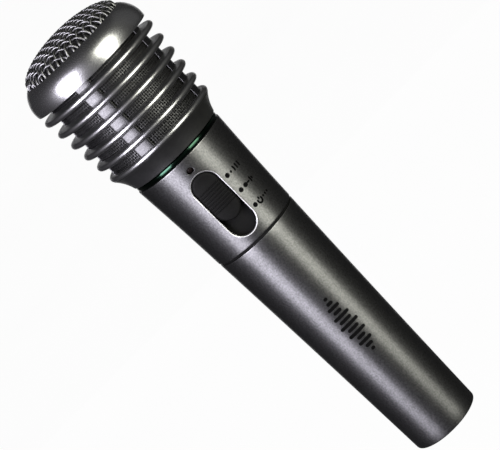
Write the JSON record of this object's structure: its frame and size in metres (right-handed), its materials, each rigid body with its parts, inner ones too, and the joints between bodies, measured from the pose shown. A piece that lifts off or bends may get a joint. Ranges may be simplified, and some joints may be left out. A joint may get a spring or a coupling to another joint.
{
  "type": "hand-held dynamic microphone",
  "caption": "Hand-held dynamic microphone with a ringed grille head, a three-position slide switch and a screw-off battery sleeve.",
  "frame": {"origin": "centre of the tail face, on which the microphone stands", "axes": "+Z along the microphone towards the dome, -Y towards the switch"},
  "size_m": [0.0584, 0.0584, 0.2244],
  "materials": {
    "handle_lacquer": "satin metallic grey lacquer",
    "grille_lacquer": "glossy dark metallic grey",
    "mesh_steel": "woven wire, bare",
    "accent_green": "glossy metallic green",
    "black_gloss": "semi-gloss black",
    "black_plastic": "matt black",
    "foam": "open-cell foam",
    "rubber_black": "moulded rubber",
    "lens_dark": "dark tinted lens, unlit",
    "yellow_metal": "plated",
    "bright_metal": "nickel plated",
    "magnet_metal": "ground",
    "cell_jacket": "printed jacket, no lettering",
    "board_green": "solder mask",
    "film": "clear polyester film",
    "copper_wire": "enamelled",
    "wire_red": "insulation",
    "wire_grey": "insulation",
    "cloth": "fine acoustic cloth"
  },
  "bodies": {
    "handle": {"upper_housing": "handle_lacquer", "chassis": "black_plastic", "capsule_holder": "black_plastic", "shock_mount": "rubber_black", "capsule_case": "yellow_metal", "capsule_frame": "black_plastic", "capsule_yoke": "magnet_metal", "capsule_magnet": "magnet_metal", "pole_plate": "magnet_metal", "capsule_cover": "yellow_metal", "acoustic_cloth": "cloth", "capsule_terminals": "yellow_metal", "capsule_leads": "wire_red", "circuit_board": "board_green", "board_screws": "bright_metal", "audio_chips": "black_plastic", "capacitors": "black_gloss", "resistors": "black_plastic", "tuning_coil": "bright_metal", "crystal": "bright_metal", "indicator_led": "lens_dark", "switch_plate": "black_plastic", "switch_case": "bright_metal", "battery_tray": "black_plastic", "tray_screws": "bright_metal", "battery_cell_right": "cell_jacket", "battery_cell_left": "cell_jacket", "battery_springs": "bright_metal", "battery_contacts": "bright_metal", "power_leads": "wire_red", "jack_board": "board_green", "jack_body": "black_plastic", "jack_barrel": "bright_metal", "jack_contacts": "yellow_metal", "jack_leads": "wire_grey", "antenna_wire": "wire_grey"},
    "switch": {"switch_knob": "black_gloss", "switch_lever": "black_plastic"},
    "moving_coil": {"diaphragm": "film", "voice_coil": "copper_wire"},
    "neck_ring": {"accent_ring": "accent_green"},
    "head": {"neck_collar": "grille_lacquer", "grille_cage": "grille_lacquer", "dome_band": "grille_lacquer", "mesh_retainer": "black_plastic", "dome_mesh": "mesh_steel", "side_mesh": "mesh_steel", "foam_liner": "foam"},
    "spacer": {"joint_ring": "black_plastic"},
    "sleeve": {"battery_sleeve": "handle_lacquer", "tail_cap": "black_plastic"}
  },
  "joints": [
    {"name": "switch_slide", "type": "slide", "parent": "handle", "child": "switch", "axis": [0, 0, 1], "range_m": [-0.0084, 0]},
    {"name": "coil_travel", "type": "slide", "parent": "handle", "child": "moving_coil", "axis": [0, 0, 1], "range_m": [-0.0003, 0.0003], "stiffness_N_per_m": 220},
    {"name": "head_turn", "type": "hinge", "parent": "handle", "child": "neck_ring", "pos_m": [0, 0, 0.1578], "axis": [0, 0, 1], "continuous": true},
    {"name": "head_lift", "type": "slide", "parent": "neck_ring", "child": "head", "axis": [0, 0, 1], "range_m": [0, 0.08]},
    {"name": "sleeve_turn", "type": "hinge", "parent": "handle", "child": "spacer", "pos_m": [0, 0, 0.1128], "axis": [0, 0, 1], "continuous": true},
    {"name": "sleeve_pull", "type": "slide", "parent": "spacer", "child": "sleeve", "axis": [0, 0, -1], "range_m": [0, 0.115]}
  ]
}
